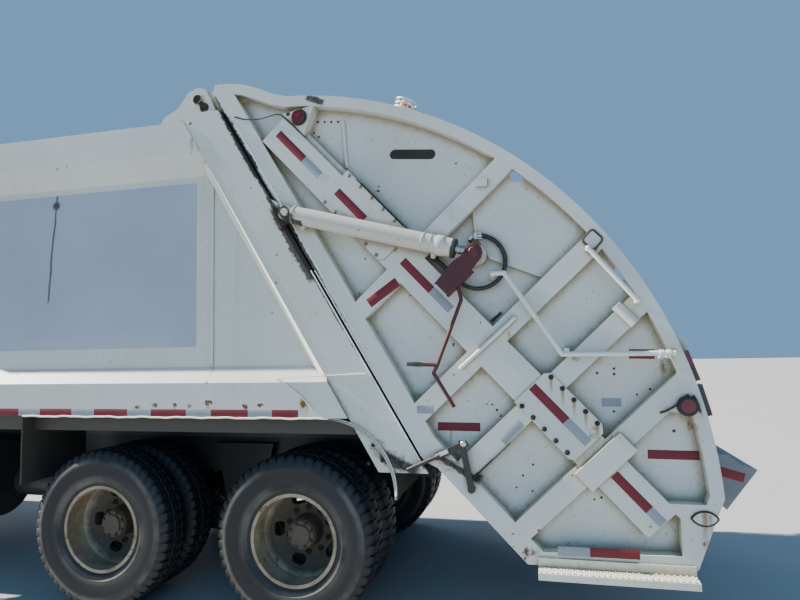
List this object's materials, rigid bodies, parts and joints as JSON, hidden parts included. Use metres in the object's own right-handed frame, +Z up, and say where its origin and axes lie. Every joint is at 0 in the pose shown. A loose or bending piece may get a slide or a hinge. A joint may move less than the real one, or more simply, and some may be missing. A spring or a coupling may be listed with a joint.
{
  "type": "garbage truck",
  "caption": "Rear-loading garbage truck with tilting cab, hollow load body, lifting tailgate, slide-and-sweep packer, push-out panel and steered front wheels.",
  "frame": {"origin": "on the ground under the middle of the truck's length and width", "axes": "+X to the truck's front, +Y to its left, +Z up"},
  "size_m": [9.243, 2.88, 3.515],
  "materials": {
    "painted_body": "aged cream paint, chalky",
    "painted_cab": "aged cream paint",
    "frame_black": "dusty black chassis paint",
    "engine_iron": "oily casting",
    "exhaust_metal": "heat tinted steel",
    "rail_white": "white paint",
    "latch_red": "dark red oxide paint",
    "rod_chrome": "plated rod",
    "window_glass": "clear laminated glass",
    "lamp_clear": "clear lens",
    "lamp_amber": "amber lens",
    "lamp_red": "red lens",
    "hose_rubber": "dull rubber",
    "beacon_orange": "orange dome in a white guard",
    "cab_trim": "moulded trim and vinyl",
    "tyre_rubber": "worn rubber",
    "rim_paint": "aged cream paint, rusty at the studs"
  },
  "bodies": {
    "chassis": {"frame_rails": "frame_black", "front_axle": "frame_black", "rear_suspension": "frame_black", "engine_block": "engine_iron", "driveline": "frame_black", "exhaust_stack": "exhaust_metal", "side_tanks": "frame_black", "front_bumper": "frame_black", "front_lamps": "lamp_clear", "cab_steps": "frame_black", "body_shell": "painted_body", "body_front_wall": "painted_body", "body_rear_frame": "painted_body", "rear_fenders": "painted_body", "roof_pipes": "painted_body"},
    "ejector": {"ejector_panel": "painted_body"},
    "cab": {"cab_shell": "painted_cab", "cab_glass": "window_glass", "cab_interior": "cab_trim", "steering_wheel": "cab_trim", "grille": "frame_black", "mirrors": "painted_cab", "cab_lamps": "lamp_amber"},
    "tailgate": {"tailgate_sides": "painted_body", "hopper_shell": "painted_body", "tailgate_cover": "painted_body", "slide_barrels": "painted_body", "grab_rails": "rail_white", "riding_steps": "rail_white", "tail_lamps": "lamp_red", "latches": "latch_red", "beacons": "beacon_orange", "tail_hoses": "hose_rubber"},
    "packer": {"slide_carriage": "painted_body"},
    "blade": {"sweep_blade": "painted_body"},
    "sweep_rods": {"sweep_rods": "rod_chrome"},
    "lift_barrels": {"lift_barrels": "painted_body"},
    "lift_rods": {"lift_rods": "rod_chrome", "tailgate_props": "latch_red"},
    "door_left": {"door_left": "painted_cab", "door_glass_left": "window_glass"},
    "knuckle_left": {"knuckle_left": "frame_black"},
    "wheel_front_left": {"tyre_front_left": "tyre_rubber", "rim_front_left": "rim_paint"},
    "wheels_mid_left": {"tyres_mid_left": "tyre_rubber", "rims_mid_left": "rim_paint"},
    "wheels_rear_left": {"tyres_rear_left": "tyre_rubber", "rims_rear_left": "rim_paint"},
    "door_right": {"door_right": "painted_cab", "door_glass_right": "window_glass"},
    "knuckle_right": {"knuckle_right": "frame_black"},
    "wheel_front_right": {"tyre_front_right": "tyre_rubber", "rim_front_right": "rim_paint"},
    "wheels_mid_right": {"tyres_mid_right": "tyre_rubber", "rims_mid_right": "rim_paint"},
    "wheels_rear_right": {"tyres_rear_right": "tyre_rubber", "rims_rear_right": "rim_paint"}
  },
  "joints": [
    {"name": "steer_left", "type": "hinge", "parent": "chassis", "child": "knuckle_left", "pos_m": [3.2515, 0.85, 0.53], "axis": [0, 0, 1], "range_deg": [-35, 35]},
    {"name": "steer_right", "type": "hinge", "parent": "chassis", "child": "knuckle_right", "pos_m": [3.2515, -0.85, 0.53], "axis": [0, 0, 1], "range_deg": [-35, 35]},
    {"name": "cab_tilt", "type": "hinge", "parent": "chassis", "child": "cab", "pos_m": [4.4715, 0, 0.88], "axis": [0, 1, 0], "range_deg": [0, 50]},
    {"name": "door_left", "type": "hinge", "parent": "cab", "child": "door_left", "pos_m": [4.3455, 1.164, 2], "axis": [0, 0, -1], "range_deg": [0, 70]},
    {"name": "door_right", "type": "hinge", "parent": "cab", "child": "door_right", "pos_m": [4.3455, -1.164, 2], "axis": [0, 0, 1], "range_deg": [0, 70]},
    {"name": "tailgate_lift", "type": "hinge", "parent": "chassis", "child": "tailgate", "pos_m": [-1.3135, 0, 3.42], "axis": [0, 1, 0], "range_deg": [0, 54]},
    {"name": "lift_swing", "type": "hinge", "parent": "chassis", "child": "lift_barrels", "pos_m": [-2.0025, 0, 2.563], "axis": [0, 1, 0], "range_deg": [0, 66.15]},
    {"name": "lift_stroke", "type": "slide", "parent": "lift_barrels", "child": "lift_rods", "axis": [-0.9653, 0, -0.261], "range_m": [0, 0.9386]},
    {"name": "packer_slide", "type": "slide", "parent": "tailgate", "child": "packer", "axis": [-0.682, 0, -0.7314], "range_m": [0, 0.9]},
    {"name": "blade_sweep", "type": "hinge", "parent": "packer", "child": "blade", "pos_m": [-3.1277, 0, 1.80738], "axis": [0, 1, 0], "range_deg": [0, 115]},
    {"name": "sweep_stroke", "type": "slide", "parent": "packer", "child": "sweep_rods", "axis": [-0.6486, 0, -0.7611], "range_m": [-0.4046, 0]},
    {"name": "ejector_push", "type": "slide", "parent": "chassis", "child": "ejector", "axis": [-1, 0, 0], "range_m": [0, 3.65]},
    {"name": "spin_front_left", "type": "hinge", "parent": "knuckle_left", "child": "wheel_front_left", "pos_m": [3.2515, 1.045, 0.525], "axis": [0, 1, 0], "continuous": true},
    {"name": "spin_mid_left", "type": "hinge", "parent": "chassis", "child": "wheels_mid_left", "pos_m": [-0.6015, 0.915, 0.525], "axis": [0, 1, 0], "continuous": true},
    {"name": "spin_rear_left", "type": "hinge", "parent": "chassis", "child": "wheels_rear_left", "pos_m": [-1.9985, 0.915, 0.525], "axis": [0, 1, 0], "continuous": true},
    {"name": "spin_front_right", "type": "hinge", "parent": "knuckle_right", "child": "wheel_front_right", "pos_m": [3.2515, -1.045, 0.525], "axis": [0, 1, 0], "continuous": true},
    {"name": "spin_mid_right", "type": "hinge", "parent": "chassis", "child": "wheels_mid_right", "pos_m": [-0.6015, -0.915, 0.525], "axis": [0, 1, 0], "continuous": true},
    {"name": "spin_rear_right", "type": "hinge", "parent": "chassis", "child": "wheels_rear_right", "pos_m": [-1.9985, -0.915, 0.525], "axis": [0, 1, 0], "continuous": true}
  ],
  "couplings": [
    {"joint": "steer_right", "follows": "steer_left", "ratio": 1},
    {"joint": "lift_swing", "follows": "tailgate_lift", "ratio": 1.2242},
    {"joint": "lift_stroke", "follows": "tailgate_lift", "m_per_rad": 0.99537},
    {"joint": "sweep_stroke", "follows": "blade_sweep", "m_per_rad": -0.20132}
  ]
}
